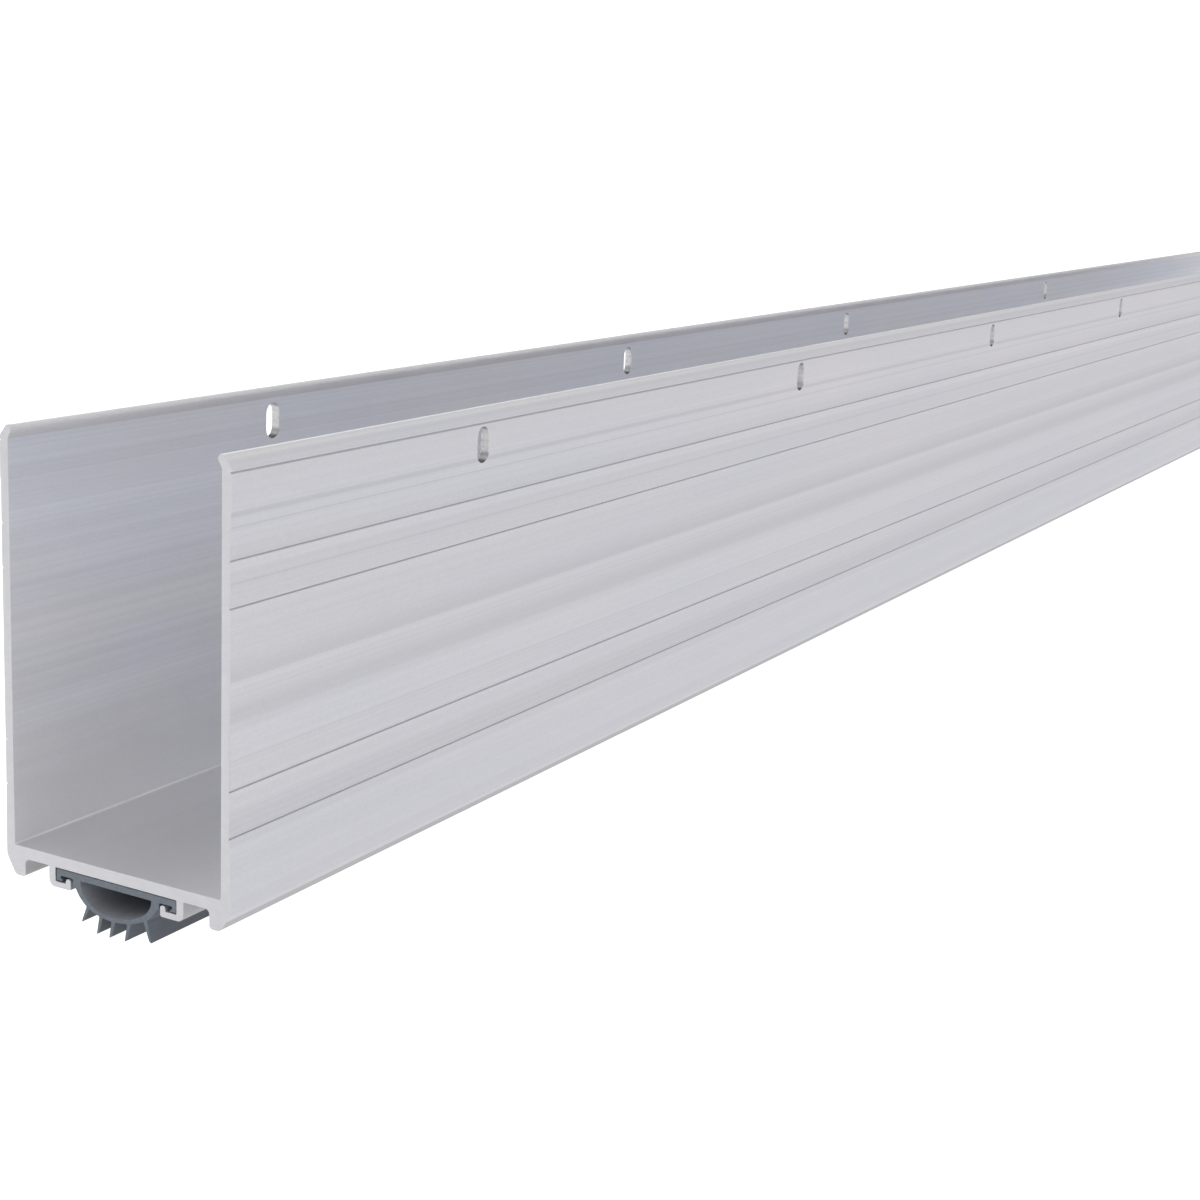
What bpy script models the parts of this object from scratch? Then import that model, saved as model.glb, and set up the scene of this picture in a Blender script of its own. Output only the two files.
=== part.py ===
"""A door sweep: an aluminium U-channel that slides up under a door, with a finned vinyl seal in its track.

The channel's length runs along X, its legs stand up along Z, and the seal's fins hang down.
The origin is on the floor, under the middle of the object, which stands on its fins.
The near leg is the one at -Y, and the near end is the one at -X.
"""

from math import cos, pi, radians, sin, tan

import bmesh
import bpy
from mathutils import Vector

MM = 0.001

# Overall sizes: a 1-3/4 in door, a 36 in sweep and a 2 in wide channel.
LENGTH = 914.4 * MM
CHANNEL_WIDTH = 50.8 * MM
LEG_WALL = 2.0 * MM
LEG_HEIGHT = 75.8 * MM
WEB_THICKNESS = 2.2 * MM
FIN_DROP = 12.75 * MM

# Sections are drawn as y across the channel and z up from the top of the web, where the door sits.
WEB_TOP = FIN_DROP
OUTER_HALF = CHANNEL_WIDTH / 2
INNER_HALF = OUTER_HALF - LEG_WALL

# The rim of each leg leans in towards the door, above a bead on the leg's outer face.
RIM_BEND = 73.1 * MM
RIM_LEAN = 1.35 * MM
RIM_WIDTH = 1.7 * MM
RIM_RADIUS = 0.75 * MM
BEAD_HEIGHT = 0.8 * MM
BEAD_RELIEF = 0.25 * MM

# Below the slots, the outer face steps in a little and starts to slope.
LEDGE_TOP = 66.5 * MM
LEDGE_END = 65.5 * MM
LEDGE_STEP = 0.12 * MM

# Each strip on a leg's outer face slopes out from a crease to a sharp lower edge, then steps back in.
STRIP_EDGES = (58.7 * MM, 50.4 * MM, 19.3 * MM, 11.1 * MM)
STRIP_HEIGHT = 4.6 * MM
STRIP_RELIEF = 0.5 * MM
STRIP_STEP = 0.35 * MM
STEP_HEIGHT = 0.25 * MM
EDGE_INSET = 0.08 * MM
EDGE_RADIUS = 0.06 * MM

# The feet below the web, one under each leg.
FOOT_TOP = 1.5 * MM
FOOT_TOE = 23.3 * MM
FOOT_INNER = 20.95 * MM
FOOT_DEPTH = 5.65 * MM

# The T-slot track under the web, with a nib along the end of each lip.
TRACK_OUTER = 15.3 * MM
TRACK_INNER = 13.8 * MM
TRACK_DEPTH = 5.9 * MM
LIP_THICKNESS = 1.1 * MM
LIP_END = 10.2 * MM
NIB_WIDTH = 1.05 * MM
NIB_HEIGHT = 0.95 * MM
NIB_SPREAD = 0.15 * MM

# The screw slots, with their distances from the near end of the channel.
SLOT_WIDTH = 4.0 * MM
SLOT_HEIGHT = 7.0 * MM
SLOT_CENTRE = 68.7 * MM
SLOT_PITCH = 152.4 * MM
NEAR_LEG_SLOTS = [SLOT_PITCH * (number + 0.5) for number in range(6)]
FAR_LEG_SLOTS = [SLOT_PITCH * number + 73.8 * MM for number in range(3)] + [597.4 * MM, 882.0 * MM]
SLOT_CUT = 3 * LEG_WALL

# The seal's flange, with a hook down each edge and a toe along the hook's end.
SEAL_PLAY = 0.2 * MM
FLANGE_THICKNESS = 1.2 * MM
HOOK_THICKNESS = 0.9 * MM
TOE_WIDTH = 0.4 * MM
TOE_HEIGHT = 0.35 * MM
TOE_SLOPE = 0.15 * MM
NECK_HALF = 9.85 * MM
NECK_DEPTH = 4.75 * MM

# The hollow bulb: half-ellipses whose lowest points sit a little towards the far leg.
BULB_TOP = 3.6 * MM
BULB_LEAN = 0.9 * MM
HOLLOW_HALF = 8.1 * MM
HOLLOW_DEPTH = 5.15 * MM
BULB_HALF = 9.5 * MM
BULB_DEPTH = 5.9 * MM
BULB_START = radians(17)

# Each fin: its angle round the bulb, how far its tip drops below the web, and how far the tip leans.
FINS = (
    (radians(51), 11.3 * MM, 1.3 * MM),
    (radians(74), 12.7 * MM, 0.7 * MM),
    (radians(92), FIN_DROP, 0.7 * MM),
    (radians(113), 12.6 * MM, 0.8 * MM),
    (radians(137), 11.6 * MM, -1.1 * MM),
)
FIN_ROOT = 0.8 * MM
FIN_TIP = 0.6 * MM
FIN_SLANT = 0.5 * MM

# How many straight steps stand for each kind of curve.
CORNER_STEPS = 4
HOLLOW_STEPS = 28
SLOT_END_STEPS = 12

WELD_DISTANCE = 0.001 * MM


def clear_scene():
    for obj in list(bpy.data.objects):
        bpy.data.objects.remove(obj, do_unlink=True)


def make_collection(name):
    collection = bpy.data.collections.new(name)
    bpy.context.scene.collection.children.link(collection)
    return collection


def make_material(name, colour, metallic, roughness):
    material = bpy.data.materials.new(name)
    material.use_nodes = True
    shader = material.node_tree.nodes["Principled BSDF"]
    shader.inputs["Base Color"].default_value = (*colour, 1.0)
    shader.inputs["Metallic"].default_value = metallic
    shader.inputs["Roughness"].default_value = roughness
    return material


def turned(vector, angle):
    return Vector((vector.x * cos(angle) - vector.y * sin(angle),
                   vector.x * sin(angle) + vector.y * cos(angle)))


def round_corner(before, corner, after, radius):
    """The points of the arc that rounds one corner of an outline, or the corner itself at radius 0."""
    if radius == 0:
        return [corner]
    to_before = (before - corner).normalized()
    to_after = (after - corner).normalized()
    half_angle = to_before.angle(to_after) / 2
    centre = corner + (to_before + to_after).normalized() * (radius / sin(half_angle))
    start = corner + to_before * (radius / tan(half_angle)) - centre
    end = corner + to_after * (radius / tan(half_angle)) - centre
    turn = -start.angle_signed(end)
    return [centre + turned(start, turn * step / CORNER_STEPS) for step in range(CORNER_STEPS + 1)]


def rounded(corners):
    """An open outline through (y, z, radius) corners, each corner between its ends rounded to its radius."""
    points = [Vector((y, z)) for y, z, _ in corners]
    outline = [points[0]]
    for index in range(1, len(points) - 1):
        radius = corners[index][2]
        outline += round_corner(points[index - 1], points[index], points[index + 1], radius)
    return outline + [points[-1]]


def mirror_image(points):
    return [Vector((-point.x, point.y)) for point in reversed(points)]


def rim():
    """The corners of a leg's rim, up its inner face and over the top."""
    tip = INNER_HALF - RIM_LEAN
    return [
        (INNER_HALF, RIM_BEND, RIM_RADIUS),
        (tip, LEG_HEIGHT, RIM_RADIUS),
        (tip + RIM_WIDTH, LEG_HEIGHT, RIM_RADIUS),
        (OUTER_HALF + BEAD_RELIEF, RIM_BEND, 0.3 * MM),
    ]


def outer_face():
    """The corners down a leg's outer face, from under the bead to the lowest strip."""
    strip_edge = OUTER_HALF - EDGE_INSET
    corners = [
        (OUTER_HALF, RIM_BEND - BEAD_HEIGHT, 0.2 * MM),
        (OUTER_HALF, LEDGE_TOP, 0),
        (OUTER_HALF - LEDGE_STEP, LEDGE_TOP - LEDGE_STEP, 0),
        (strip_edge, LEDGE_END, 0),
    ]
    for edge in STRIP_EDGES:
        corners += [
            (strip_edge - STRIP_RELIEF, edge + STRIP_HEIGHT, 0),
            (strip_edge, edge, EDGE_RADIUS),
            (strip_edge - STRIP_STEP, edge - STEP_HEIGHT, 0),
        ]
    return corners


def foot():
    """The corners of the foot under a leg, from its outside round to its inner side."""
    return [
        (OUTER_HALF, FOOT_TOP, 3.0 * MM),
        (OUTER_HALF, -WEB_THICKNESS, 2.5 * MM),
        (FOOT_TOE, -FOOT_DEPTH, 1.2 * MM),
        (FOOT_INNER, -FOOT_DEPTH, 0.7 * MM),
        (FOOT_INNER, -WEB_THICKNESS, 0.9 * MM),
    ]


def track():
    """The corners of one side of the track, from its outside round the nib to the web."""
    floor = -TRACK_DEPTH + LIP_THICKNESS
    nib_inner = LIP_END + NIB_WIDTH
    return [
        (TRACK_OUTER, -WEB_THICKNESS, 0.3 * MM),
        (TRACK_OUTER, -TRACK_DEPTH, 1.3 * MM),
        (LIP_END, -TRACK_DEPTH, 0.4 * MM),
        (LIP_END, floor + NIB_HEIGHT, 0.45 * MM),
        (nib_inner, floor + NIB_HEIGHT, 0.4 * MM),
        (nib_inner + NIB_SPREAD, floor, 0.2 * MM),
        (TRACK_INNER, floor, 0.3 * MM),
        (TRACK_INNER, -WEB_THICKNESS, 0.25 * MM),
    ]


def channel_section():
    """The closed outline of the aluminium section."""
    web_corner = [(INNER_HALF, 0, 0.4 * MM)]
    middle_top = [(0, 0, 0)]
    middle_under = [(0, -WEB_THICKNESS, 0)]
    half = rounded(middle_top + web_corner + rim() + outer_face() + foot() + track() + middle_under)
    side = half[1:-1]
    return side + mirror_image(side)


def bulb_point(half_width, depth, angle):
    """A point on one of the bulb's leaning half-ellipses, from the far side at 0 to the near side at pi."""
    lean = BULB_LEAN * sin(angle) ** 3
    return Vector((half_width * cos(angle) + lean, -BULB_TOP - depth * sin(angle)))


def bulb_arc(start, end, steps):
    """The points between two angles on the bulb's outside, without its two ends."""
    angles = [start + (end - start) * step / steps for step in range(1, steps)]
    return [bulb_point(BULB_HALF, BULB_DEPTH, angle) for angle in angles]


def fin_outline(angle, drop, lean):
    """The points of one fin, from its far side to its near side, with a slanted tip."""
    root = bulb_point(BULB_HALF, BULB_DEPTH, angle)
    half_turn = FIN_ROOT / 2 / Vector((BULB_HALF * sin(angle), BULB_DEPTH * cos(angle))).length
    long_side, short_side = (drop, drop - FIN_SLANT) if lean > 0 else (drop - FIN_SLANT, drop)
    return [
        bulb_point(BULB_HALF, BULB_DEPTH, angle - half_turn),
        Vector((root.x + lean + FIN_TIP / 2, -long_side)),
        Vector((root.x + lean - FIN_TIP / 2, -short_side)),
        bulb_point(BULB_HALF, BULB_DEPTH, angle + half_turn),
    ]


def bulb_and_fins():
    """The underside of the seal, from the far side of the bulb to the near side."""
    outline = [bulb_point(BULB_HALF, BULB_DEPTH, BULB_START)]
    last = BULB_START
    for angle, drop, lean in FINS:
        outline += bulb_arc(last, angle, 3) + fin_outline(angle, drop, lean)
        last = angle
    end = pi - BULB_START
    return outline + bulb_arc(last, end, 4) + [bulb_point(BULB_HALF, BULB_DEPTH, end)]


def flange_side():
    """One edge of the flange, from the middle of its top down round the hook to the neck."""
    top = -WEB_THICKNESS - SEAL_PLAY
    underside = top - FLANGE_THICKNESS
    hook_outer = TRACK_INNER - SEAL_PLAY
    hook_inner = hook_outer - HOOK_THICKNESS
    hook_end = -TRACK_DEPTH + LIP_THICKNESS + SEAL_PLAY
    toe = hook_inner - TOE_WIDTH
    return rounded([
        (0, top, 0),
        (hook_outer, top, 0.25 * MM),
        (hook_outer, hook_end, 0.15 * MM),
        (toe, hook_end, 0.12 * MM),
        (toe, hook_end + TOE_HEIGHT, 0.12 * MM),
        (hook_inner, hook_end + TOE_HEIGHT + TOE_SLOPE, 0.15 * MM),
        (hook_inner, underside, 0.25 * MM),
        (NECK_HALF, underside, 0.2 * MM),
        (NECK_HALF, -NECK_DEPTH, 0),
    ])


def seal_section():
    """The closed outline of the seal and the outline of its hollow."""
    far_side = flange_side()[1:]
    angles = [pi * step / HOLLOW_STEPS for step in range(HOLLOW_STEPS + 1)]
    hollow = [bulb_point(HOLLOW_HALF, HOLLOW_DEPTH, angle) for angle in angles]
    return [far_side + bulb_and_fins() + mirror_image(far_side), hollow]


def slot_outline(distance):
    """The round-ended outline of one slot, as x along the channel and z up from the web's top."""
    radius = SLOT_WIDTH / 2
    centre = Vector((distance - LENGTH / 2, SLOT_CENTRE))
    to_end = Vector((0, SLOT_HEIGHT / 2 - radius))
    outline = []
    for arc_centre, start in ((centre + to_end, 0), (centre - to_end, pi)):
        angles = [start + pi * step / SLOT_END_STEPS for step in range(SLOT_END_STEPS + 1)]
        outline += [arc_centre + Vector((cos(angle), sin(angle))) * radius for angle in angles]
    return outline


def extruded_curve(name, outlines, thickness):
    """A curve object: flat outlines in its own XY plane, filled, and extruded to a thickness."""
    data = bpy.data.curves.new(name, "CURVE")
    data.dimensions = "2D"
    data.fill_mode = "BOTH"
    data.extrude = thickness / 2
    for outline in outlines:
        spline = data.splines.new("POLY")
        spline.points.add(len(outline) - 1)
        for point, place in zip(spline.points, outline):
            point.co = (place.x, place.y, 0, 1)
        spline.use_cyclic_u = True
    return bpy.data.objects.new(name, data)


def curve_to_mesh(curve_object, collection):
    """Replaces a curve object with a mesh object of its shape: caps welded on and faces outward."""
    collection.objects.link(curve_object)
    bpy.context.view_layer.update()
    name = curve_object.name
    graph = bpy.context.evaluated_depsgraph_get()
    mesh = bpy.data.meshes.new_from_object(curve_object.evaluated_get(graph))
    shape = bmesh.new()
    shape.from_mesh(mesh)
    bmesh.ops.remove_doubles(shape, verts=shape.verts, dist=WELD_DISTANCE)
    bmesh.ops.recalc_face_normals(shape, faces=shape.faces)
    shape.to_mesh(mesh)
    shape.free()
    place = curve_object.matrix_world.copy()
    bpy.data.objects.remove(curve_object, do_unlink=True)
    obj = bpy.data.objects.new(name, mesh)
    obj.matrix_world = place
    collection.objects.link(obj)
    return obj


def make_extrusion(name, collection, outlines, material):
    """A piece with one section along the whole length: the section's y and z become the scene's Y and Z."""
    section = extruded_curve(name, outlines, LENGTH)
    section.rotation_euler = (pi / 2, 0, pi / 2)
    section.location = (0, 0, WEB_TOP)
    extrusion = curve_to_mesh(section, collection)
    extrusion.data.materials.append(material)
    extrusion.data.shade_smooth()
    extrusion.data.set_sharp_from_angle(angle=radians(30))
    return extrusion


def cut_slots(channel, name, collection, side, distances):
    """Cuts a row of slots through the leg at -Y or +Y, with one cutter that holds a bar for each slot."""
    bars = extruded_curve(name, [slot_outline(distance) for distance in distances], SLOT_CUT)
    bars.rotation_euler = (pi / 2, 0, 0)
    bars.location = (0, side * OUTER_HALF, WEB_TOP)
    cutter = curve_to_mesh(bars, collection)
    cutter.hide_render = True
    cutter.display_type = "WIRE"
    modifier = channel.modifiers.new(name, "BOOLEAN")
    modifier.operation = "DIFFERENCE"
    modifier.solver = "EXACT"
    modifier.object = cutter


def make_channel(parts, cutters):
    aluminium = make_material("mill_aluminium", (0.62, 0.62, 0.65), 1.0, 0.38)
    channel = make_extrusion("door_channel", parts, [channel_section()], aluminium)
    cut_slots(channel, "near_leg_slots", cutters, -1, NEAR_LEG_SLOTS)
    cut_slots(channel, "far_leg_slots", cutters, 1, FAR_LEG_SLOTS)


def make_seal(parts):
    vinyl = make_material("grey_vinyl", (0.13, 0.16, 0.19), 0.0, 0.6)
    make_extrusion("finned_seal", parts, seal_section(), vinyl)


def main():
    clear_scene()
    parts = make_collection("door_sweep")
    cutters = make_collection("cutters")
    make_channel(parts, cutters)
    make_seal(parts)


main()
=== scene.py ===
"""The looks of the door sweep: a mill-finish aluminium channel with a grey vinyl seal in its track."""

from math import ceil, cos, pi, radians, sin, tan

import bmesh
import bpy
from mathutils import Matrix, Vector, noise


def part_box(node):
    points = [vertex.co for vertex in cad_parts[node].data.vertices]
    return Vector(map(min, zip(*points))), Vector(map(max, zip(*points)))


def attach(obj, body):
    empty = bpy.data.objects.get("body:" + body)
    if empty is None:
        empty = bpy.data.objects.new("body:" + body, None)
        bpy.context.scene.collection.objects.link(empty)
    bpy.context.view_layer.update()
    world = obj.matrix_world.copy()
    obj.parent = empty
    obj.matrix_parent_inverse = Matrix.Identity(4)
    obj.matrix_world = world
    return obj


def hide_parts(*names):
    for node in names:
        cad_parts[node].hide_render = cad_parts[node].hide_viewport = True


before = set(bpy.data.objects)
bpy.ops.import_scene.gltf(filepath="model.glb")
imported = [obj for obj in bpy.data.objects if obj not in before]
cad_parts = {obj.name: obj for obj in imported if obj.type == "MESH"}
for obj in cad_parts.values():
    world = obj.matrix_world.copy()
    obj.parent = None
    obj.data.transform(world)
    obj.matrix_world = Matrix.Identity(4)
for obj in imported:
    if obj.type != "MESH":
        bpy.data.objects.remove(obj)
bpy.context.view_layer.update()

MM = 0.001

# The ends of both pieces come from the frame.
CHANNEL_LOW, CHANNEL_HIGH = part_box("door_channel")
SEAL_LOW, SEAL_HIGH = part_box("finned_seal")

# The object stands on its longest fin, and the sections are drawn from the top of the web.
FIN_DROP = 12.75 * MM
WEB_TOP = FIN_DROP

# The channel's section, as y across and z up from the top of the web.
OUTER_HALF = 25.4 * MM
INNER_HALF = 23.4 * MM
LEG_HEIGHT = 75.8 * MM
WEB_THICKNESS = 2.2 * MM
WEB_CORNER = 0.45 * MM
END_BEVEL = 0.09 * MM

# The rim of each leg leans in, above a bead on the leg's outer face.
RIM_BEND = 73.4 * MM
RIM_LEAN = 1.35 * MM
RIM_WIDTH = 1.7 * MM
BEAD_RELIEF = 0.22 * MM

# Each leg's outer face, which steps in a little at the ledge, and its thin grooves.
FACE_INSET = 0.05 * MM
LEDGE = 66.2 * MM
LEDGE_STEP = 0.1 * MM
GROOVES = (58.4 * MM, 50.4 * MM, 19.3 * MM, 11.1 * MM)
GROOVE_DEPTH = 0.25 * MM

# A groove's corners: how far each is above the groove, how deep it is, and its radius.
GROOVE_CORNERS = (
    (0.2 * MM, 0, 0.04 * MM),
    (0.08 * MM, GROOVE_DEPTH, 0.05 * MM),
    (-0.06 * MM, GROOVE_DEPTH, 0.05 * MM),
    (-0.18 * MM, 0, 0.04 * MM),
)

# The foot under each leg, and the track under the web with a nib along the end of each lip.
FOOT_TOP = 1.5 * MM
FOOT_TOE = 23.3 * MM
FOOT_INNER = 20.95 * MM
FOOT_DEPTH = 5.65 * MM
TRACK_DEPTH = 5.9 * MM
TRACK_OUTER = 15.3 * MM
TRACK_INNER = 13.8 * MM
LIP_THICKNESS = 1.1 * MM
LIP_END = 10.2 * MM
NIB_WIDTH = 1.05 * MM
NIB_HEIGHT = 0.95 * MM
NIB_SPREAD = 0.15 * MM

# The screw slots, with their distances from the near end.
SLOT_WIDTH = 4.0 * MM
SLOT_HEIGHT = 7.0 * MM
SLOT_CENTRE = 68.7 * MM
SLOT_PITCH = 152.4 * MM
NEAR_LEG_SLOTS = [SLOT_PITCH * (number + 0.5) for number in range(6)]
FAR_LEG_SLOTS = [SLOT_PITCH * number + 73.8 * MM for number in range(3)] + [597.4 * MM, 882.0 * MM]
SLOT_ROUNDING = 0.22 * MM
SLOT_STEPS = 40

# The seal's section. Its ends lie a little inside the channel's.
SEAL_PLAY = 0.2 * MM
SEAL_INSET = 0.15 * MM
FLANGE_THICKNESS = 1.2 * MM
HOOK_THICKNESS = 0.9 * MM
TOE_WIDTH = 0.4 * MM
TOE_HEIGHT = 0.35 * MM
TOE_SLOPE = 0.15 * MM
NECK_HALF = 9.85 * MM
NECK_DEPTH = 4.75 * MM
BULB_TOP = 3.6 * MM
BULB_LEAN = 0.9 * MM
BULB_HALF = 9.5 * MM
BULB_DEPTH = 5.9 * MM
BULB_START = radians(17)
HOLLOW_HALF = 8.1 * MM
HOLLOW_DEPTH = 5.15 * MM
HOLLOW_STEPS = 40

# Each fin: its angle round the bulb, how far its tip drops below the web, and how far the tip leans.
FINS = (
    (radians(51), 11.3 * MM, 1.3 * MM),
    (radians(74), 12.7 * MM, 0.7 * MM),
    (radians(92), FIN_DROP, 0.7 * MM),
    (radians(113), 12.6 * MM, 0.8 * MM),
    (radians(137), 11.6 * MM, -1.1 * MM),
)
FIN_ROOT = 0.8 * MM
FIN_TIP = 0.6 * MM
FIN_SLANT = 0.5 * MM
FIN_CLEAR = radians(4)
FIN_SWAY = 0.35 * MM

# Lengthwise bands along the outside: some are die streaks, and some are painted shade and highlight
# beside the grooves, the ledge and the bead and across the face's shallow ridges. Each starts, reaches its
# level of brightness, leaves it again and ends at a height above the web, in mm.
SHADE_AND_STREAK_BANDS = (
    (-7, -6, -3.5, -1.5, 1.07),
    (-7, -6, 9, 11, 1.05),
    (11.2, 11.5, 14.3, 15, 0.97),
    (14.9, 15.05, 15.1, 15.3, 0.96),
    (15, 17, 19, 19.2, 1.02),
    (24.2, 24.4, 24.5, 24.7, 0.96),
    (24, 26, 28, 30.5, 1.02),
    (29.5, 32.3, 32.7, 35.5, 0.925),
    (35.5, 37.4, 37.7, 37.9, 1.03),
    (37.9, 38.1, 38.5, 43.5, 0.92),
    (48, 50, 50.2, 50.5, 1.02),
    (50.6, 50.8, 55.5, 56.5, 0.98),
    (54.3, 54.5, 54.6, 54.8, 0.93),
    (55.8, 57, 57.8, 58.3, 1.03),
    (58.4, 58.7, 59, 63, 0.955),
    (63.6, 63.8, 63.9, 64.1, 0.93),
    (65.3, 65.8, 66.2, 66.7, 0.88),
    (72.7, 72.8, 72.9, 73.05, 0.74),
    (73.2, 73.4, 76, 77, 1.04),
)

# Where the metal's finish and its painted shade and highlights change: heights above the top of the web,
# and distances from the middle.
WEB_EDGE = (0.04 * MM, 0.1 * MM)
CORNER_SHADE_EDGE = (0.35 * MM, 0.5 * MM)
INNER_LINES_EDGE = (8 * MM, 28 * MM)
UNDER_RIM_SHADE_EDGE = (62 * MM, 70 * MM)
RIM_EDGE = (73.5 * MM, 73.7 * MM)
GROOVE_SHADE_START = (3 * MM, 4 * MM)
GROOVE_SHADE_END = (73.2 * MM, 73.3 * MM)
GROOVE_SHADE_EDGE = (25.05 * MM, 25.2 * MM)
OUTSIDE_EDGE = (24.4 * MM, 24.5 * MM)

# How bright some parts of the metal are beside the rest: painted shade in the grooves, in the web corners,
# on the web and in a band below the rims, and a painted highlight on the rims.
GROOVE_SHADE_LEVEL = 0.74
RIM_HIGHLIGHT_LEVEL = 1.07
CORNER_SHADE_LEVEL = 0.97
WEB_SHADE_LEVEL = 0.78
UNDER_RIM_SHADE_LEVEL = 0.93

# How bright a slot's sides are below and above each (start, end) height from the slot's centre: the ends
# are darker, partly as dull torn metal and partly as painted shade, darkest at the bottom, and the sides
# are lifted by painted light.
SLOT_SHADE_AND_HIGHLIGHT_LEVELS = (
    (-3.3 * MM, -2.7 * MM, 0.15, 0.7),
    (-2.3 * MM, -1.2 * MM, 0.75, 1 / 0.7),
    (2.4 * MM, 3.4 * MM, 1.4, 0.7),
)

# Colours.
OUTER_COOL = (0.823, 0.820, 0.862)
OUTER_WARM = (0.846, 0.823, 0.838)
# The inside's metal colours are lighter than the outside's: painted light where less light reaches the
# inside of the channel.
LIGHTENED_INNER_COOL = (0.900, 0.912, 0.962)
LIGHTENED_INNER_WARM = (0.930, 0.913, 0.916)
SAWN_COLOUR = (0.85, 0.842, 0.86)
PUNCHED_COLOUR = (0.67, 0.66, 0.66)
SKIN_COLOUR = (0.165, 0.185, 0.215)
CUT_COLOUR = (0.211, 0.239, 0.277)
# The bore's colour is much paler than the skin's: painted light in the shade of the hollow.
LIGHTENED_BORE_COLOUR = (0.36, 0.37, 0.40)

# The studio. The floor and the horizon look white, and light the object more softly than that.
WHITE = 1.1
FLOOR_GLOW = 0.4
FLOOR_COLOUR = 0.55
FLOOR_RADIUS = 6.0
FLOOR_DROP = 0.2 * MM
HORIZON = 0.8
WALL = 0.3
FRONT_SOFTBOX = 0.45
BACK_SOFTBOX = 1.5
END_STRIP = 1.3
LOW_TINT = (1, 0.99, 1.02)
HIGH_TINT = (0.975, 1, 1.02)

# Where each light starts and is full, or starts to fade and is gone, as x, y or z of a direction.
HORIZON_TOP = (0.10, 0.18)
FRONT_BOTTOM = (0.25, 0.45)
FRONT_INNER_SIDE = (-0.2, 0.0)
BACK_BOTTOM = (0.5, 0.65)
BACK_INNER_SIDE = (0.2, 0.4)
STRIP_BOTTOM = (0.04, 0.1)
STRIP_TOP = (0.35, 0.5)
STRIP_SIDE = (0.1, 0.3)
STRIP_END = (0.0, 0.4)

# The camera: how far it stands before the near end, beside the middle and above the web, and its turn.
CAMERA_BACK = 256.376 * MM
CAMERA_SIDE = 231.732 * MM
CAMERA_RISE = 129.434 * MM
CAMERA_YAW = radians(29.701)
CAMERA_PITCH = radians(11.672)
CAMERA_ROLL = radians(2.090)


# Outlines.

def turned(vector, angle):
    return Vector((vector.x * cos(angle) - vector.y * sin(angle),
                   vector.x * sin(angle) + vector.y * cos(angle)))


def round_corner(before, corner, after, radius, step_angle=radians(15)):
    """The points of the arc that rounds one corner of an outline, or the corner itself at radius 0."""
    if radius == 0:
        return [corner]
    to_before = (before - corner).normalized()
    to_after = (after - corner).normalized()
    half_angle = to_before.angle(to_after) / 2
    centre = corner + (to_before + to_after).normalized() * (radius / sin(half_angle))
    start = corner + to_before * (radius / tan(half_angle)) - centre
    end = corner + to_after * (radius / tan(half_angle)) - centre
    turn = -start.angle_signed(end)
    steps = max(2, ceil(abs(turn) / step_angle))
    return [centre + turned(start, turn * step / steps) for step in range(steps + 1)]


def rounded(corners):
    """An open outline through (y, z, radius) corners, with each one between its ends rounded."""
    points = [Vector((y, z)) for y, z, _ in corners]
    outline = [points[0]]
    for index in range(1, len(points) - 1):
        radius = corners[index][2]
        outline += round_corner(points[index - 1], points[index], points[index + 1], radius)
    return outline + [points[-1]]


def mirror_image(points):
    return [Vector((-point.x, point.y)) for point in reversed(points)]


def rim():
    """The corners of a leg's rim, up its inner face and over the top."""
    tip = INNER_HALF - RIM_LEAN
    return [
        (INNER_HALF, RIM_BEND, 0.35 * MM),
        (tip, LEG_HEIGHT, 0.75 * MM),
        (tip + RIM_WIDTH, LEG_HEIGHT, 0.7 * MM),
        (OUTER_HALF + BEAD_RELIEF, RIM_BEND, 0.25 * MM),
    ]


def outer_face():
    """The corners down a leg's outer face: the bead's lower edge, the ledge and the grooves."""
    face = OUTER_HALF - FACE_INSET
    corners = [
        (OUTER_HALF + BEAD_RELIEF, RIM_BEND - 0.2 * MM, 0.1 * MM),
        (face - GROOVE_DEPTH, RIM_BEND - 0.35 * MM, 0.06 * MM),
        (face, RIM_BEND - 0.75 * MM, 0.1 * MM),
        (face, LEDGE + 0.3 * MM, 0.3 * MM),
        (face - LEDGE_STEP, LEDGE - 0.3 * MM, 0.3 * MM),
    ]
    face -= LEDGE_STEP
    for groove in GROOVES:
        corners += [(face - depth, groove + rise, radius) for rise, depth, radius in GROOVE_CORNERS]
    return corners


def foot():
    """The corners of the foot under a leg, from its outside round to its inner side."""
    return [
        (OUTER_HALF, FOOT_TOP, 3.0 * MM),
        (OUTER_HALF, -WEB_THICKNESS, 2.5 * MM),
        (FOOT_TOE, -FOOT_DEPTH, 1.2 * MM),
        (FOOT_INNER, -FOOT_DEPTH, 0.7 * MM),
        (FOOT_INNER, -WEB_THICKNESS, 0.9 * MM),
    ]


def track():
    """The corners of one side of the track, from its outside round the nib to the web."""
    floor = -TRACK_DEPTH + LIP_THICKNESS
    nib_inner = LIP_END + NIB_WIDTH
    return [
        (TRACK_OUTER, -WEB_THICKNESS, 0.3 * MM),
        (TRACK_OUTER, -TRACK_DEPTH, 1.3 * MM),
        (LIP_END, -TRACK_DEPTH, 0.4 * MM),
        (LIP_END, floor + NIB_HEIGHT, 0.45 * MM),
        (nib_inner, floor + NIB_HEIGHT, 0.4 * MM),
        (nib_inner + NIB_SPREAD, floor, 0.2 * MM),
        (TRACK_INNER, floor, 0.3 * MM),
        (TRACK_INNER, -WEB_THICKNESS, 0.25 * MM),
    ]


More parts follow.
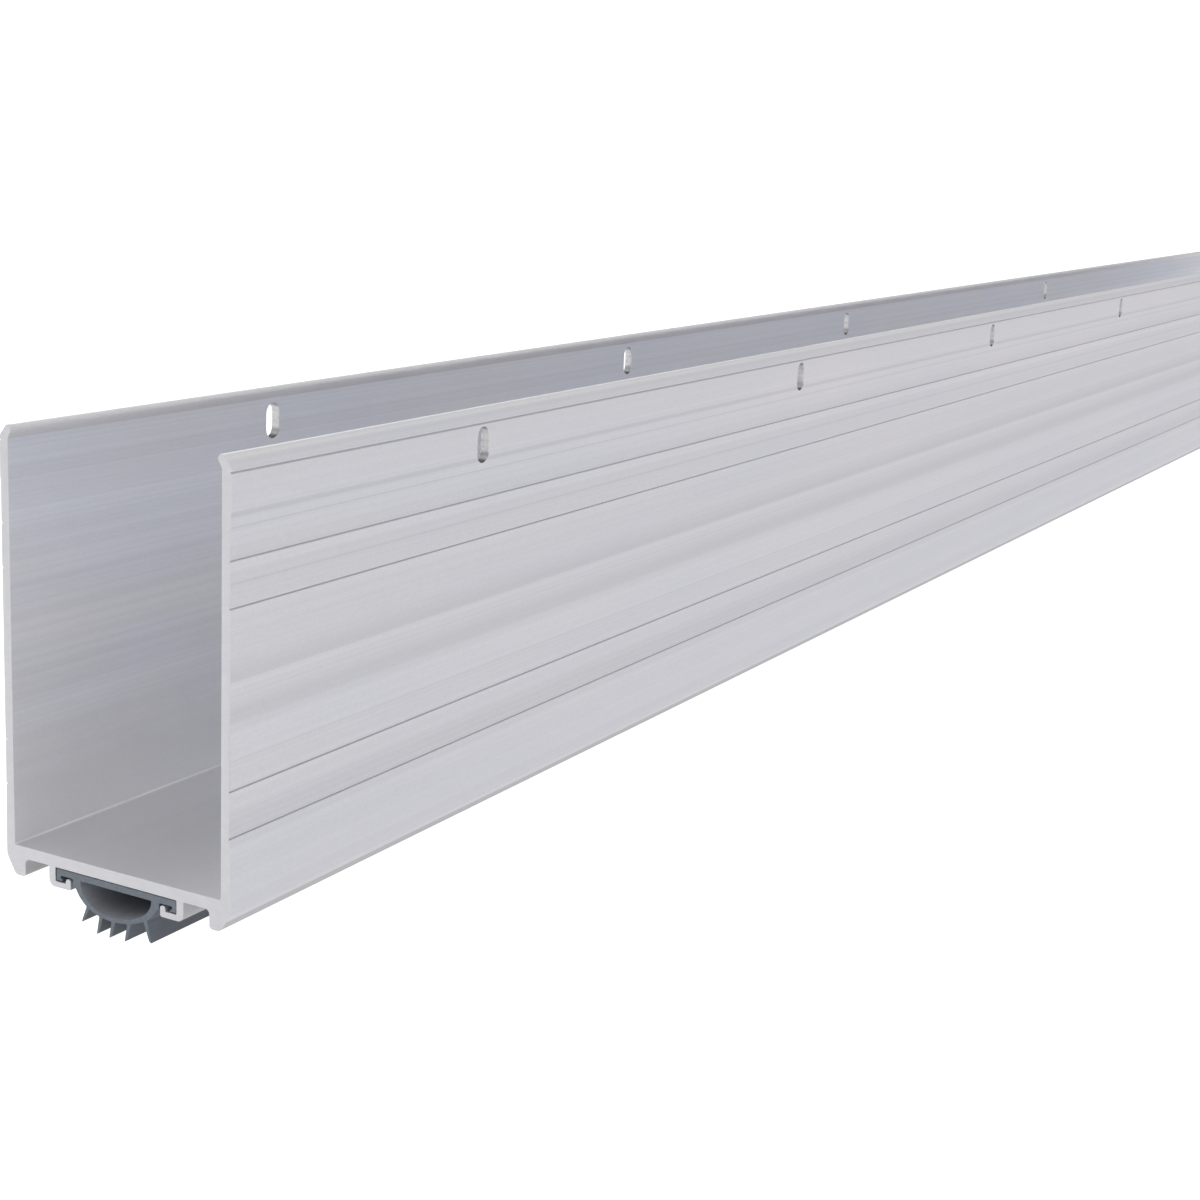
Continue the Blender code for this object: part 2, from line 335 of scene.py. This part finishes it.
def channel_section():
    """The closed outline of the aluminium section."""
    web_corner = [(INNER_HALF, 0, WEB_CORNER)]
    middle_top = [(0, 0, 0)]
    middle_under = [(0, -WEB_THICKNESS, 0)]
    half = rounded(middle_top + web_corner + rim() + outer_face() + foot() + track() + middle_under)
    side = half[1:-1]
    return side + mirror_image(side)


def bulb_point(half_width, depth, angle):
    """A point on a leaning half-ellipse of the bulb, from the far side at 0 to the near side at pi."""
    lean = BULB_LEAN * sin(angle) ** 3
    return Vector((half_width * cos(angle) + lean, -BULB_TOP - depth * sin(angle)))


def bulb_corners(start, end, steps):
    """Corners along the bulb's outside between two angles, for rounded()."""
    angles = [start + (end - start) * step / steps for step in range(steps + 1)]
    return [(*bulb_point(BULB_HALF, BULB_DEPTH, angle), 0) for angle in angles]


def fin_half_turn(angle):
    """Half the angle that a fin's root takes up round the bulb."""
    return FIN_ROOT / 2 / Vector((BULB_HALF * sin(angle), BULB_DEPTH * cos(angle))).length


def fin_corners(angle, drop, lean):
    """The corners of one fin, with fillets at its root and a slanted, slightly rounded tip."""
    root = bulb_point(BULB_HALF, BULB_DEPTH, angle)
    half_turn = fin_half_turn(angle)
    long_side, short_side = (drop, drop - FIN_SLANT) if lean > 0 else (drop - FIN_SLANT, drop)
    return [
        (*bulb_point(BULB_HALF, BULB_DEPTH, angle - half_turn), 0.25 * MM),
        (root.x + lean + FIN_TIP / 2, -long_side, 0.1 * MM),
        (root.x + lean - FIN_TIP / 2, -short_side, 0.1 * MM),
        (*bulb_point(BULB_HALF, BULB_DEPTH, angle + half_turn), 0.25 * MM),
    ]


def bulb_and_fins():
    """The corners of the underside of the seal, from the far side of the bulb to the near side."""
    corners = []
    start = BULB_START
    for angle, drop, lean in FINS:
        half_turn = fin_half_turn(angle)
        corners += bulb_corners(start, angle - half_turn - FIN_CLEAR, 4)
        corners += fin_corners(angle, drop, lean)
        start = angle + half_turn + FIN_CLEAR
    return corners + bulb_corners(start, pi - BULB_START, 6)


def flange_side():
    """The corners of one edge of the flange, from its top down round the hook to the neck."""
    top = -WEB_THICKNESS - SEAL_PLAY
    underside = top - FLANGE_THICKNESS
    hook_outer = TRACK_INNER - SEAL_PLAY
    hook_inner = hook_outer - HOOK_THICKNESS
    hook_end = -TRACK_DEPTH + LIP_THICKNESS + SEAL_PLAY
    toe = hook_inner - TOE_WIDTH
    return [
        (hook_outer, top, 0.25 * MM),
        (hook_outer, hook_end, 0.15 * MM),
        (toe, hook_end, 0.12 * MM),
        (toe, hook_end + TOE_HEIGHT, 0.12 * MM),
        (hook_inner, hook_end + TOE_HEIGHT + TOE_SLOPE, 0.15 * MM),
        (hook_inner, underside, 0.25 * MM),
        (NECK_HALF, underside, 0.2 * MM),
        (NECK_HALF, -NECK_DEPTH, 0.3 * MM),
    ]


def seal_section():
    """The closed outline of the seal and the outline of its hollow."""
    middle = (0, -WEB_THICKNESS - SEAL_PLAY, 0)
    far_side = flange_side()
    near_side = [(-y, z, radius) for y, z, radius in reversed(far_side)]
    outline = rounded([middle] + far_side + bulb_and_fins() + near_side + [middle])
    angles = [pi * step / HOLLOW_STEPS for step in range(HOLLOW_STEPS + 1)]
    hollow = [bulb_point(HOLLOW_HALF, HOLLOW_DEPTH, angle) for angle in angles]
    return [outline[:-1], hollow]


# Meshes.

def round_edge(radius):
    """Points round an edge between two faces, as (distance from the first, distance from the second)."""
    angles = [pi / 2 * step / 3 for step in range(4)]
    return [(radius * (1 - cos(angle)), radius * (1 - sin(angle))) for angle in angles]


def inward(outline):
    """For each point of a closed outline, a unit vector that points into the outline."""
    area = sum(a.x * b.y - b.x * a.y for a, b in zip(outline, outline[1:] + outline[:1]))
    side = 1 if area > 0 else -1
    directions = []
    for index, point in enumerate(outline):
        before = (point - outline[index - 1]).normalized()
        after = (outline[(index + 1) % len(outline)] - point).normalized()
        along = before + after
        directions.append(Vector((-along.y, along.x)).normalized() * side)
    return directions


def join(shape, verts, others):
    """A band of faces between two rings that have the same number of points."""
    for index, vert in enumerate(verts):
        shape.faces.new((verts[index - 1], vert, others[index], others[index - 1]))


def make_object(name, shape):
    """A mesh object in the scene, made from a bmesh."""
    mesh = bpy.data.meshes.new(name)
    shape.to_mesh(mesh)
    shape.free()
    obj = bpy.data.objects.new(name, mesh)
    bpy.context.scene.collection.objects.link(obj)
    return obj


def extrude(name, loops, stations, shift=None):
    """A closed solid along X, from its outer loop and any loops for holes.

    A station is (x, inset): its ring of points is drawn into the material by the inset.
    """
    shape = bmesh.new()
    rings = []
    directions = [inward(loop) for loop in loops]
    directions[1:] = [[-way for way in ways] for ways in directions[1:]]
    for x, inset in stations:
        ring = []
        for loop, ways in zip(loops, directions):
            verts = []
            for point, way in zip(loop, ways):
                place = point + way * inset
                corner = Vector((x, place.x, WEB_TOP + place.y))
                verts.append(shape.verts.new(corner + shift(corner) if shift else corner))
            ring.append(verts)
        rings.append(ring)
    for ring, following in zip(rings, rings[1:]):
        for verts, others in zip(ring, following):
            join(shape, verts, others)
    for ring in (rings[0], rings[-1]):
        edges = []
        for verts in ring:
            edges += [shape.edges.get((verts[index - 1], vert)) for index, vert in enumerate(verts)]
        bmesh.ops.triangle_fill(shape, use_beauty=True, edges=edges)
    bmesh.ops.recalc_face_normals(shape, faces=shape.faces)
    return make_object(name, shape)


def cutter_rings():
    """The slot cutter's rings, as (distance from the middle, flare), with an edge at each face of a leg."""
    reach = 3 * SLOT_ROUNDING
    wide = reach / 2 + SLOT_ROUNDING
    edge = round_edge(SLOT_ROUNDING)
    outer = [(OUTER_HALF - depth, flare) for depth, flare in edge]
    inner = [(INNER_HALF + depth, flare) for depth, flare in reversed(edge)]
    return [(OUTER_HALF + reach, wide)] + outer + inner + [(INNER_HALF - reach, wide)]


def slot_ring(shape, distance, y, flare):
    """A slot's outline at one distance through its leg, wider all round by its flare."""
    radius = SLOT_WIDTH / 2
    verts = []
    for step in range(SLOT_STEPS):
        angle = 2 * pi * (step + 0.5) / SLOT_STEPS
        lift = (SLOT_HEIGHT / 2 - radius) * (1 if sin(angle) > 0 else -1)
        x = CHANNEL_LOW.x + distance + (radius + flare) * cos(angle)
        z = WEB_TOP + SLOT_CENTRE + lift + (radius + flare) * sin(angle)
        verts.append(shape.verts.new((x, y, z)))
    return verts


def slot_cutter(distances, side):
    """A solid for each slot: a round-ended bar through the leg that flares where it meets each face."""
    shape = bmesh.new()
    for distance in distances:
        rings = [slot_ring(shape, distance, side * y, flare) for y, flare in cutter_rings()]
        for ring, following in zip(rings, rings[1:]):
            join(shape, ring, following)
        shape.faces.new(rings[0])
        shape.faces.new(rings[-1])
    bmesh.ops.recalc_face_normals(shape, faces=shape.faces)
    return make_object("slot_cutter", shape)


def cut(obj, cutter):
    modifier = obj.modifiers.new("cut", "BOOLEAN")
    modifier.operation = "DIFFERENCE"
    modifier.solver = "EXACT"
    modifier.object = cutter
    bpy.context.view_layer.update()
    graph = bpy.context.evaluated_depsgraph_get()
    mesh = bpy.data.meshes.new_from_object(obj.evaluated_get(graph))
    obj.modifiers.clear()
    obj.data = mesh
    bpy.data.objects.remove(cutter, do_unlink=True)


def smooth(obj, angle):
    obj.data.shade_smooth()
    obj.data.set_sharp_from_angle(angle=angle)
    weighted = obj.modifiers.new("weighted_normals", "WEIGHTED_NORMAL")
    weighted.keep_sharp = True


# Nodes.

def add(tree, kind, inputs=None, **settings):
    """A new node, with its settings, and with each input set to a value or linked from a socket."""
    made = tree.nodes.new("ShaderNode" + kind)
    for key, value in settings.items():
        setattr(made, key, value)
    for key, value in (inputs or {}).items():
        if isinstance(value, bpy.types.NodeSocket):
            tree.links.new(value, made.inputs[key])
        else:
            made.inputs[key].default_value = value
    return made


def times(tree, first, second):
    return add(tree, "Math", {0: first, 1: second}, operation="MULTIPLY").outputs[0]


def plus(tree, first, second):
    return add(tree, "Math", {0: first, 1: second}, operation="ADD").outputs[0]


def mix(tree, factor, first, second):
    """Goes from first to second as the factor goes from 0 to 1, and on past second beyond 1."""
    made = add(tree, "Mix", {"Factor": factor, "A": first, "B": second}, clamp_factor=False)
    return made.outputs["Result"]


def mix_colour(tree, factor, first, second):
    """Goes from one colour to another as the factor goes from 0 to 1."""
    made = add(tree, "Mix", {"Factor": factor}, data_type="RGBA")
    for socket, value in ((made.inputs[6], first), (made.inputs[7], second)):
        if isinstance(value, bpy.types.NodeSocket):
            tree.links.new(value, socket)
        else:
            socket.default_value = (*value, 1)
    return made.outputs[2]


def ramp(tree, value, start, end, low, high, curve="LINEAR"):
    """Maps start to low and end to high, and holds those values beyond them."""
    limits = {"Value": value, "From Min": start, "From Max": end, "To Min": low, "To Max": high}
    return add(tree, "MapRange", limits, interpolation_type=curve).outputs[0]


def smooth_ramp(tree, value, start, end, low, high):
    return ramp(tree, value, start, end, low, high, "SMOOTHSTEP")


def above_web(tree, height, edge, low, high):
    """Goes from low to high across an edge, which is a pair of heights above the top of the web."""
    start, end = edge
    return ramp(tree, height, WEB_TOP + start, WEB_TOP + end, low, high)


def stretched_noise(tree, place, scale, detail, roughness=0.55):
    """Noise whose grain is set for each axis, so that it can run along the length."""
    vector = add(tree, "VectorMath", {0: place, 1: scale}, operation="MULTIPLY").outputs[0]
    settings = {"Vector": vector, "Scale": 1.0, "Detail": detail, "Roughness": roughness}
    return add(tree, "TexNoise", settings).outputs["Fac"]


def spread(tree, value, low, high):
    """Maps a noise's usual range, 0.3 to 0.7, to low and high."""
    return ramp(tree, value, 0.3, 0.7, low, high)


def new_material(name):
    material = bpy.data.materials.new(name)
    material.use_nodes = True
    tree = material.node_tree
    return material, tree, tree.nodes["Principled BSDF"]


def paint(tree, shader, colour, light):
    """Sets the base colour, made lighter or darker from place to place."""
    painted = add(tree, "VectorMath", {0: colour, "Scale": light}, operation="SCALE").outputs[0]
    tree.links.new(painted, shader.inputs["Base Color"])


def emboss(tree, shader, height, strength, distance):
    bump = add(tree, "Bump", {"Strength": strength, "Distance": distance, "Height": height})
    tree.links.new(bump.outputs[0], shader.inputs["Normal"])


# Materials.

def shade_and_streak_bands(tree, height):
    """How bright the outside is at each height: die streaks and painted shade and highlight, from
    SHADE_AND_STREAK_BANDS.
    """
    light = 1.0
    for start, full, leave, end, level in SHADE_AND_STREAK_BANDS:
        rise = smooth_ramp(tree, height, WEB_TOP + start * MM, WEB_TOP + full * MM, 0, 1)
        fall = smooth_ramp(tree, height, WEB_TOP + leave * MM, WEB_TOP + end * MM, 1, 0)
        light = times(tree, light, mix(tree, times(tree, rise, fall), 1.0, level))
    return light


def mill_aluminium():
    material, tree, shader = new_material("mill_aluminium")
    place = add(tree, "TexCoord").outputs["Object"]
    axes = add(tree, "SeparateXYZ", {0: place})
    height = axes.outputs["Z"]
    across = add(tree, "Math", {0: axes.outputs["Y"]}, operation="ABSOLUTE").outputs[0]
    outside = ramp(tree, across, *OUTSIDE_EDGE, 0, 1)

    # Drawing marks: fine lengthwise lines, which fade low down on the inside.
    hair = stretched_noise(tree, place, (0.9, 4200, 4200), 1)
    fine = stretched_noise(tree, place, (0.7, 1500, 1500), 1)
    middle = stretched_noise(tree, place, (0.5, 420, 420), 1)
    broad = stretched_noise(tree, place, (0.35, 110, 110), 1)
    lines = times(tree, spread(tree, hair, 0.985, 1.015), spread(tree, fine, 0.982, 1.018))
    lines = times(tree, lines, spread(tree, middle, 0.988, 1.012))
    depth = above_web(tree, height, INNER_LINES_EDGE, 0.2, 1.25)
    light = mix(tree, outside, mix(tree, depth, 1.0, lines), lines)
    light = times(tree, light, spread(tree, broad, 0.985, 1.015))

    # Soft clouds and a fine grain.
    cloud = stretched_noise(tree, place, (9, 30, 70), 3)
    grain = stretched_noise(tree, place, (1800, 1800, 1800), 1)
    light = times(tree, light, spread(tree, cloud, 0.99, 1.01))
    light = times(tree, light, spread(tree, grain, 0.985, 1.015))

    # The outside's bands of die streaks and painted shade and highlight, and painted shade in the bottoms
    # of its grooves.
    light = times(tree, light, mix(tree, outside, 1.0, shade_and_streak_bands(tree, height)))
    groove = times(tree, outside, ramp(tree, across, *GROOVE_SHADE_EDGE, 1, 0))
    groove = times(tree, groove, above_web(tree, height, GROOVE_SHADE_START, 0, 1))
    groove = times(tree, groove, above_web(tree, height, GROOVE_SHADE_END, 1, 0))
    light = times(tree, light, mix(tree, groove, 1.0, GROOVE_SHADE_LEVEL))

    # The inside: a painted highlight on the rims, painted shade in a band below them and in the corners,
    # and painted shade on the web and below it.
    corner = above_web(tree, height, CORNER_SHADE_EDGE, 1, 0)
    corner = times(tree, corner, above_web(tree, height, WEB_EDGE, 0, 1))
    inner_shade_and_highlight = above_web(tree, height, RIM_EDGE, 1, RIM_HIGHLIGHT_LEVEL)
    inner_shade_and_highlight = times(tree, inner_shade_and_highlight, mix(tree, corner, 1.0, CORNER_SHADE_LEVEL))
    inner_shade_and_highlight = times(tree, inner_shade_and_highlight, above_web(tree, height, WEB_EDGE, WEB_SHADE_LEVEL, 1))
    inner_shade_and_highlight = times(tree, inner_shade_and_highlight, above_web(tree, height, UNDER_RIM_SHADE_EDGE, 1, UNDER_RIM_SHADE_LEVEL))
    light = times(tree, light, mix(tree, outside, inner_shade_and_highlight, 1.0))

    # The metal is a little warmer in places on the outside, and towards the web on the inside.
    outer_warmth = above_web(tree, height, (0, 55 * MM), 0.3, 1)
    outer_warmth = times(tree, spread(tree, cloud, 0, 1), outer_warmth)
    blotch = stretched_noise(tree, place, (16, 45, 45), 3)
    inner_warmth = above_web(tree, height, (0, LEG_HEIGHT), 0.9, 0.1)
    inner_warmth = plus(tree, spread(tree, blotch, -0.45, 0.45), inner_warmth)
    inner_warmth = plus(tree, inner_warmth, above_web(tree, height, RIM_EDGE, 0, 1))
    # The inside's tints are lighter than the outside's, as painted light for the inside of the channel.
    outer_tint = mix_colour(tree, outer_warmth, OUTER_COOL, OUTER_WARM)
    lightened_inner_tint = mix_colour(tree, inner_warmth, LIGHTENED_INNER_COOL, LIGHTENED_INNER_WARM)
    paint(tree, shader, mix_colour(tree, outside, lightened_inner_tint, outer_tint), light)
    shader.inputs["Metallic"].default_value = 0.8
    tree.links.new(spread(tree, middle, 0.55, 0.65), shader.inputs["Roughness"])
    emboss(tree, shader, fine, 0.2, 0.02 * MM)
    return material


def sawn_aluminium():
    material, tree, shader = new_material("sawn_aluminium")
    place = add(tree, "TexCoord").outputs["Object"]
    marks = stretched_noise(tree, place, (1, 500, 9000), 2)
    patches = stretched_noise(tree, place, (400, 400, 400), 3)
    light = times(tree, spread(tree, marks, 0.975, 1.025), spread(tree, patches, 0.98, 1.02))
    paint(tree, shader, SAWN_COLOUR, light)
    shader.inputs["Metallic"].default_value = 0.7
    shader.inputs["Roughness"].default_value = 0.5
    emboss(tree, shader, marks, 0.15, 0.02 * MM)
    return material


def punched_aluminium():
    """Bright sides where the punch sheared the metal, lifted further by painted light, and dull torn ends
    darkened further by painted shade, most of all at the bottom.
    """
    material, tree, shader = new_material("punched_aluminium")
    place = add(tree, "TexCoord").outputs["Object"]
    marks = stretched_noise(tree, place, (2500, 250, 2500), 3)
    torn = stretched_noise(tree, place, (900, 900, 900), 3)
    light = times(tree, spread(tree, marks, 0.92, 1.08), spread(tree, torn, 0.9, 1.1))
    height = add(tree, "SeparateXYZ", {0: place}).outputs["Z"]
    offset = plus(tree, height, -WEB_TOP - SLOT_CENTRE)
    # Painted shade darkens the slot's ends, most of all the bottom, and painted light lifts its sides.
    for start, end, below, above in SLOT_SHADE_AND_HIGHLIGHT_LEVELS:
        light = times(tree, light, smooth_ramp(tree, offset, start, end, below, above))
    paint(tree, shader, PUNCHED_COLOUR, light)
    shader.inputs["Metallic"].default_value = 0.7
    shader.inputs["Roughness"].default_value = 0.6
    emboss(tree, shader, marks, 0.3, 0.03 * MM)
    return material


def vinyl_skin():
    material, tree, shader = new_material("vinyl_skin")
    place = add(tree, "TexCoord").outputs["Object"]
    lines = stretched_noise(tree, place, (3, 900, 900), 4)
    cloud = stretched_noise(tree, place, (120, 160, 160), 4)
    grain = stretched_noise(tree, place, (5000, 5000, 5000), 3)
    light = times(tree, spread(tree, lines, 0.92, 1.08), spread(tree, cloud, 0.93, 1.07))
    paint(tree, shader, SKIN_COLOUR, light)
    tree.links.new(spread(tree, cloud, 0.42, 0.56), shader.inputs["Roughness"])
    emboss(tree, shader, grain, 0.2, 0.03 * MM)
    return material


def vinyl_cut():
    material, tree, shader = new_material("vinyl_cut")
    place = add(tree, "TexCoord").outputs["Object"]
    marks = stretched_noise(tree, place, (1, 1500, 3500), 3)
    specks = stretched_noise(tree, place, (2600, 2600, 2600), 2)
    light = times(tree, spread(tree, marks, 0.93, 1.07), spread(tree, specks, 0.88, 1.12))
    paint(tree, shader, CUT_COLOUR, light)
    shader.inputs["Roughness"].default_value = 0.6
    emboss(tree, shader, specks, 0.3, 0.05 * MM)
    return material


def lightened_vinyl_bore():
    """The inside of the bulb, rougher than the skin and painted paler, as painted light in the hollow's
    shade.
    """
    material, tree, shader = new_material("lightened_vinyl_bore")
    place = add(tree, "TexCoord").outputs["Object"]
    lines = stretched_noise(tree, place, (3, 700, 700), 3)
    cloud = stretched_noise(tree, place, (120, 160, 160), 4)
    light = times(tree, spread(tree, lines, 0.9, 1.1), spread(tree, cloud, 0.93, 1.07))
    paint(tree, shader, LIGHTENED_BORE_COLOUR, light)
    shader.inputs["Roughness"].default_value = 0.7
    emboss(tree, shader, lines, 0.2, 0.03 * MM)
    return material


# Pieces.

def in_slot(face):
    """Whether a face of the channel is one of the small ones inside a slot."""
    slack = 0.01 * MM
    margin = 0.3 * MM
    in_wall = INNER_HALF - slack < abs(face.center.y) < OUTER_HALF + slack
    at_slots = abs(face.center.z - WEB_TOP - SLOT_CENTRE) < SLOT_HEIGHT / 2 + margin
    crosswise = abs(face.normal.y) < 0.8
    small = face.area < 10 * MM * MM
    return in_wall and at_slots and crosswise and small


def make_channel():
    near = [(CHANNEL_LOW.x + distance, inset) for distance, inset in round_edge(END_BEVEL)]
    far = [(-x, inset) for x, inset in reversed(near)]
    channel = extrude("channel_extrusion", [channel_section()], near + far)
    cut(channel, slot_cutter(NEAR_LEG_SLOTS, -1))
    cut(channel, slot_cutter(FAR_LEG_SLOTS, 1))
    for material in (mill_aluminium(), sawn_aluminium(), punched_aluminium()):
        channel.data.materials.append(material)
    for face in channel.data.polygons:
        if abs(face.center.x) > CHANNEL_HIGH.x - 2 * END_BEVEL:
            face.material_index = 1
        elif in_slot(face):
            face.material_index = 2
    smooth(channel, radians(50))
    return channel


def seal_wobble(corner):
    """How far a point of the seal strays from straight: its fins wander a little along the length."""
    depth = max(0.0, (WEB_TOP - BULB_TOP - corner.z) / (FIN_DROP - BULB_TOP))
    sway = noise.noise(Vector((corner.x * 9, corner.y * 60, 3.7)))
    return Vector((0, FIN_SWAY * depth * sway, 0))


def in_hollow(point):
    reach = Vector((point.y / HOLLOW_HALF, (point.z - WEB_TOP + BULB_TOP) / HOLLOW_DEPTH)).length
    return point.z < WEB_TOP - BULB_TOP + 0.1 * MM and reach < 1.15


def make_seal():
    count = 96
    bevel = 0.05 * MM
    margin = 0.3 * MM
    low = SEAL_LOW.x + SEAL_INSET
    high = SEAL_HIGH.x - SEAL_INSET
    inner = [low + margin + (high - low - 2 * margin) * step / count for step in range(count + 1)]
    stations = [(low, bevel), (low + bevel, 0)] + [(x, 0) for x in inner]
    stations += [(high - bevel, 0), (high, bevel)]
    seal = extrude("seal_extrusion", seal_section(), stations, seal_wobble)
    for material in (vinyl_skin(), vinyl_cut(), lightened_vinyl_bore()):
        seal.data.materials.append(material)
    for face in seal.data.polygons:
        if abs(face.normal.x) > 0.7:
            face.material_index = 1
        elif in_hollow(face.center):
            face.material_index = 2
    smooth(seal, radians(40))
    return seal


# Stage.

def make_floor():
    shape = bmesh.new()
    bmesh.ops.create_circle(shape, cap_ends=True, segments=96, radius=FLOOR_RADIUS)
    floor = make_object("floor", shape)
    floor.location.z = -FLOOR_DROP
    material, tree, shader = new_material("floor_white")
    shader.inputs["Base Color"].default_value = (FLOOR_COLOUR, FLOOR_COLOUR, FLOOR_COLOUR, 1)
    shader.inputs["Roughness"].default_value = 0.9
    shader.inputs["Specular IOR Level"].default_value = 0.0
    shader.inputs["Emission Color"].default_value = (1, 1, 1, 1)
    seen = add(tree, "LightPath").outputs["Is Camera Ray"]
    tree.links.new(mix(tree, seen, FLOOR_GLOW, WHITE), shader.inputs["Emission Strength"])
    floor.data.materials.append(material)


def make_world():
    """Pale low down, with a softbox high up along each side of the object and a strip past its far end."""
    world = bpy.data.worlds.new("studio")
    world.use_nodes = True
    tree = world.node_tree
    toward = add(tree, "SeparateXYZ", {0: add(tree, "TexCoord").outputs["Generated"]})
    x, y, z = toward.outputs["X"], toward.outputs["Y"], toward.outputs["Z"]
    low = ramp(tree, z, *HORIZON_TOP, HORIZON, WALL)
    high = ramp(tree, z, *FRONT_BOTTOM, 0, 1)
    front = times(tree, high, ramp(tree, y, *FRONT_INNER_SIDE, FRONT_SOFTBOX, 0))
    back = times(tree, ramp(tree, z, *BACK_BOTTOM, 0, 1), ramp(tree, y, *BACK_INNER_SIDE, 0, BACK_SOFTBOX))
    strip = times(tree, ramp(tree, z, *STRIP_BOTTOM, 0, 1), ramp(tree, z, *STRIP_TOP, 1, 0))
    strip = times(tree, strip, ramp(tree, y, *STRIP_SIDE, 0, END_STRIP))
    strip = times(tree, strip, ramp(tree, x, *STRIP_END, 0, 1))
    light = plus(tree, plus(tree, low, strip), plus(tree, front, back))
    seen = add(tree, "LightPath").outputs["Is Camera Ray"]
    background = tree.nodes["Background"]
    tree.links.new(mix_colour(tree, high, LOW_TINT, HIGH_TINT), background.inputs["Color"])
    tree.links.new(mix(tree, seen, light, WHITE), background.inputs["Strength"])
    bpy.context.scene.world = world


def make_camera():
    data = bpy.data.cameras.new("camera")
    data.lens = 61.76
    data.sensor_width = 36
    data.shift_x = 0.0375
    data.shift_y = -0.0417
    data.clip_start = 0.01
    data.clip_end = 50
    camera = bpy.data.objects.new("camera", data)
    forward = Vector((cos(CAMERA_YAW) * cos(CAMERA_PITCH),
                      sin(CAMERA_YAW) * cos(CAMERA_PITCH),
                      -sin(CAMERA_PITCH)))
    level = forward.cross(Vector((0, 0, 1))).normalized()
    above = level.cross(forward)
    right = level * cos(CAMERA_ROLL) + above * sin(CAMERA_ROLL)
    up = above * cos(CAMERA_ROLL) - level * sin(CAMERA_ROLL)
    turn = Matrix((right, up, -forward)).transposed()
    place = Vector((CHANNEL_LOW.x - CAMERA_BACK, -CAMERA_SIDE, WEB_TOP + CAMERA_RISE))
    camera.matrix_world = Matrix.Translation(place) @ turn.to_4x4()
    bpy.context.scene.collection.objects.link(camera)
    bpy.context.scene.camera = camera


def main():
    bpy.context.scene.view_settings.view_transform = "Standard"
    make_camera()
    make_world()
    make_floor()
    channel = make_channel()
    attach(channel, "channel")
    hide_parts("door_channel")
    seal = make_seal()
    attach(seal, "seal")
    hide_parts("finned_seal")


main()
